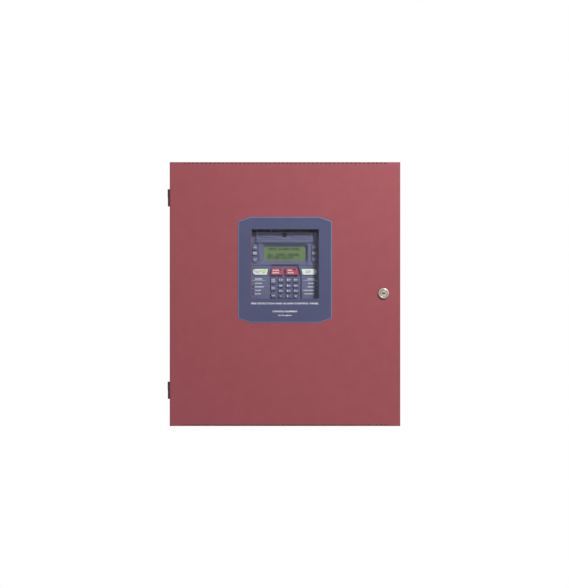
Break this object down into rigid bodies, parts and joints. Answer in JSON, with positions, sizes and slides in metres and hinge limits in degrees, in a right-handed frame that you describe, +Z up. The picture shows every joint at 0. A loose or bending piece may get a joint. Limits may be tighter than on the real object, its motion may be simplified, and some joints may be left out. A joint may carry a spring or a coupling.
{
  "type": "fire alarm control panel",
  "caption": "Wall mounted alarm panel: a red steel cabinet with a hinged, locked door, and a window over a display and keypad module.",
  "frame": {"origin": "centre of the back face, in the middle of the four wall holes", "axes": "+Z up, +Y into the wall, the door faces -Y"},
  "size_m": [0.4327, 0.1408, 0.4892],
  "materials": {
    "red_paint": "textured red powder coat on steel",
    "hinge_paint": "dark red painted hinge steel",
    "zinc_steel": "bright zinc plated steel",
    "nickel_plate": "satin nickel plate",
    "blue_overlay": "printed polycarbonate faceplate",
    "clear_lens": "clear polycarbonate",
    "cover_plastic": "fine textured moulded ABS",
    "key_grey": "moulded ABS",
    "key_red": "moulded ABS",
    "key_white": "moulded ABS",
    "lcd_green": "liquid crystal display glass",
    "mat_rubber": "moulded silicone",
    "led_plastic": "tinted epoxy lamps",
    "circuit_board": "solder masked glass laminate",
    "terminal_plastic": "moulded polyamide",
    "relay_plastic": "moulded relay case",
    "black_aluminium": "black anodised extrusion",
    "capacitor_sleeve": "shrink sleeve",
    "core_steel": "varnished steel laminations",
    "coil_tape": "polyester tape",
    "battery_plastic": "moulded ABS",
    "wire_sleeve": "flexible vinyl insulation",
    "ribbon_plastic": "flat vinyl cable"
  },
  "bodies": {
    "cabinet": {"backbox": "red_paint", "box_hinge_leaves": "hinge_paint", "hinge_pins": "zinc_steel", "chassis_plate": "zinc_steel", "stud_nuts": "zinc_steel", "standoffs": "nickel_plate", "main_circuit_board": "circuit_board", "board_screws": "zinc_steel", "terminal_blocks": "terminal_plastic", "relays": "relay_plastic", "heat_sink": "black_aluminium", "filter_capacitors": "capacitor_sleeve", "transformer_core": "core_steel", "transformer_coil": "coil_tape", "battery_cases": "battery_plastic", "battery_terminals": "nickel_plate", "battery_leads": "wire_sleeve", "ribbon_cable": "ribbon_plastic", "module_cover": "cover_plastic", "display_board": "circuit_board", "lcd_glass": "lcd_green", "keypad_mat": "mat_rubber", "indicator_leds": "led_plastic", "module_screw": "zinc_steel"},
    "door": {"door_panel": "red_paint", "door_hinge_leaves": "hinge_paint", "bezel_overlay": "blue_overlay", "window_lens": "clear_lens", "window_retainer": "zinc_steel", "retainer_nuts": "zinc_steel", "lock_body": "nickel_plate", "lock_nut": "zinc_steel"},
    "lock": {"lock_plug": "nickel_plate", "lock_cam": "zinc_steel", "cam_screw": "zinc_steel"},
    "key_left_up": {"key_left_up": "key_grey"},
    "key_left_middle": {"key_left_middle": "key_grey"},
    "key_left_down": {"key_left_down": "key_grey"},
    "key_right_up": {"key_right_up": "key_grey"},
    "key_right_middle": {"key_right_middle": "key_grey"},
    "key_right_down": {"key_right_down": "key_grey"},
    "key_acknowledge": {"key_acknowledge": "key_white"},
    "key_silence": {"key_silence": "key_red"},
    "key_drill": {"key_drill": "key_red"},
    "key_reset": {"key_reset": "key_white"},
    "key_function_1": {"key_function_1": "key_grey"},
    "key_function_2": {"key_function_2": "key_grey"},
    "key_function_3": {"key_function_3": "key_grey"},
    "key_1": {"key_1": "key_grey"},
    "key_2": {"key_2": "key_grey"},
    "key_3": {"key_3": "key_grey"},
    "key_4": {"key_4": "key_grey"},
    "key_5": {"key_5": "key_grey"},
    "key_6": {"key_6": "key_grey"},
    "key_7": {"key_7": "key_grey"},
    "key_8": {"key_8": "key_grey"},
    "key_9": {"key_9": "key_grey"},
    "key_star": {"key_star": "key_grey"},
    "key_0": {"key_0": "key_grey"},
    "key_hash": {"key_hash": "key_grey"}
  },
  "joints": [
    {"name": "door_hinge", "type": "hinge", "parent": "cabinet", "child": "door", "pos_m": [-0.2154, -0.1144, 0], "axis": [0, 0, -1], "range_deg": [0, 150]},
    {"name": "lock_turn", "type": "hinge", "parent": "door", "child": "lock", "pos_m": [0.1826, -0.1286, 0.0012], "axis": [0, 1, 0], "range_deg": [0, 90]},
    {"name": "press_left_up", "type": "slide", "parent": "cabinet", "child": "key_left_up", "axis": [0, 1, 0], "range_m": [0, 0.001], "stiffness_N_per_m": 400},
    {"name": "press_left_middle", "type": "slide", "parent": "cabinet", "child": "key_left_middle", "axis": [0, 1, 0], "range_m": [0, 0.001], "stiffness_N_per_m": 400},
    {"name": "press_left_down", "type": "slide", "parent": "cabinet", "child": "key_left_down", "axis": [0, 1, 0], "range_m": [0, 0.001], "stiffness_N_per_m": 400},
    {"name": "press_right_up", "type": "slide", "parent": "cabinet", "child": "key_right_up", "axis": [0, 1, 0], "range_m": [0, 0.001], "stiffness_N_per_m": 400},
    {"name": "press_right_middle", "type": "slide", "parent": "cabinet", "child": "key_right_middle", "axis": [0, 1, 0], "range_m": [0, 0.001], "stiffness_N_per_m": 400},
    {"name": "press_right_down", "type": "slide", "parent": "cabinet", "child": "key_right_down", "axis": [0, 1, 0], "range_m": [0, 0.001], "stiffness_N_per_m": 400},
    {"name": "press_acknowledge", "type": "slide", "parent": "cabinet", "child": "key_acknowledge", "axis": [0, 1, 0], "range_m": [0, 0.001], "stiffness_N_per_m": 400},
    {"name": "press_silence", "type": "slide", "parent": "cabinet", "child": "key_silence", "axis": [0, 1, 0], "range_m": [0, 0.001], "stiffness_N_per_m": 400},
    {"name": "press_drill", "type": "slide", "parent": "cabinet", "child": "key_drill", "axis": [0, 1, 0], "range_m": [0, 0.001], "stiffness_N_per_m": 400},
    {"name": "press_reset", "type": "slide", "parent": "cabinet", "child": "key_reset", "axis": [0, 1, 0], "range_m": [0, 0.001], "stiffness_N_per_m": 400},
    {"name": "press_function_1", "type": "slide", "parent": "cabinet", "child": "key_function_1", "axis": [0, 1, 0], "range_m": [0, 0.001], "stiffness_N_per_m": 400},
    {"name": "press_function_2", "type": "slide", "parent": "cabinet", "child": "key_function_2", "axis": [0, 1, 0], "range_m": [0, 0.001], "stiffness_N_per_m": 400},
    {"name": "press_function_3", "type": "slide", "parent": "cabinet", "child": "key_function_3", "axis": [0, 1, 0], "range_m": [0, 0.001], "stiffness_N_per_m": 400},
    {"name": "press_1", "type": "slide", "parent": "cabinet", "child": "key_1", "axis": [0, 1, 0], "range_m": [0, 0.001], "stiffness_N_per_m": 400},
    {"name": "press_2", "type": "slide", "parent": "cabinet", "child": "key_2", "axis": [0, 1, 0], "range_m": [0, 0.001], "stiffness_N_per_m": 400},
    {"name": "press_3", "type": "slide", "parent": "cabinet", "child": "key_3", "axis": [0, 1, 0], "range_m": [0, 0.001], "stiffness_N_per_m": 400},
    {"name": "press_4", "type": "slide", "parent": "cabinet", "child": "key_4", "axis": [0, 1, 0], "range_m": [0, 0.001], "stiffness_N_per_m": 400},
    {"name": "press_5", "type": "slide", "parent": "cabinet", "child": "key_5", "axis": [0, 1, 0], "range_m": [0, 0.001], "stiffness_N_per_m": 400},
    {"name": "press_6", "type": "slide", "parent": "cabinet", "child": "key_6", "axis": [0, 1, 0], "range_m": [0, 0.001], "stiffness_N_per_m": 400},
    {"name": "press_7", "type": "slide", "parent": "cabinet", "child": "key_7", "axis": [0, 1, 0], "range_m": [0, 0.001], "stiffness_N_per_m": 400},
    {"name": "press_8", "type": "slide", "parent": "cabinet", "child": "key_8", "axis": [0, 1, 0], "range_m": [0, 0.001], "stiffness_N_per_m": 400},
    {"name": "press_9", "type": "slide", "parent": "cabinet", "child": "key_9", "axis": [0, 1, 0], "range_m": [0, 0.001], "stiffness_N_per_m": 400},
    {"name": "press_star", "type": "slide", "parent": "cabinet", "child": "key_star", "axis": [0, 1, 0], "range_m": [0, 0.001], "stiffness_N_per_m": 400},
    {"name": "press_0", "type": "slide", "parent": "cabinet", "child": "key_0", "axis": [0, 1, 0], "range_m": [0, 0.001], "stiffness_N_per_m": 400},
    {"name": "press_hash", "type": "slide", "parent": "cabinet", "child": "key_hash", "axis": [0, 1, 0], "range_m": [0, 0.001], "stiffness_N_per_m": 400}
  ]
}
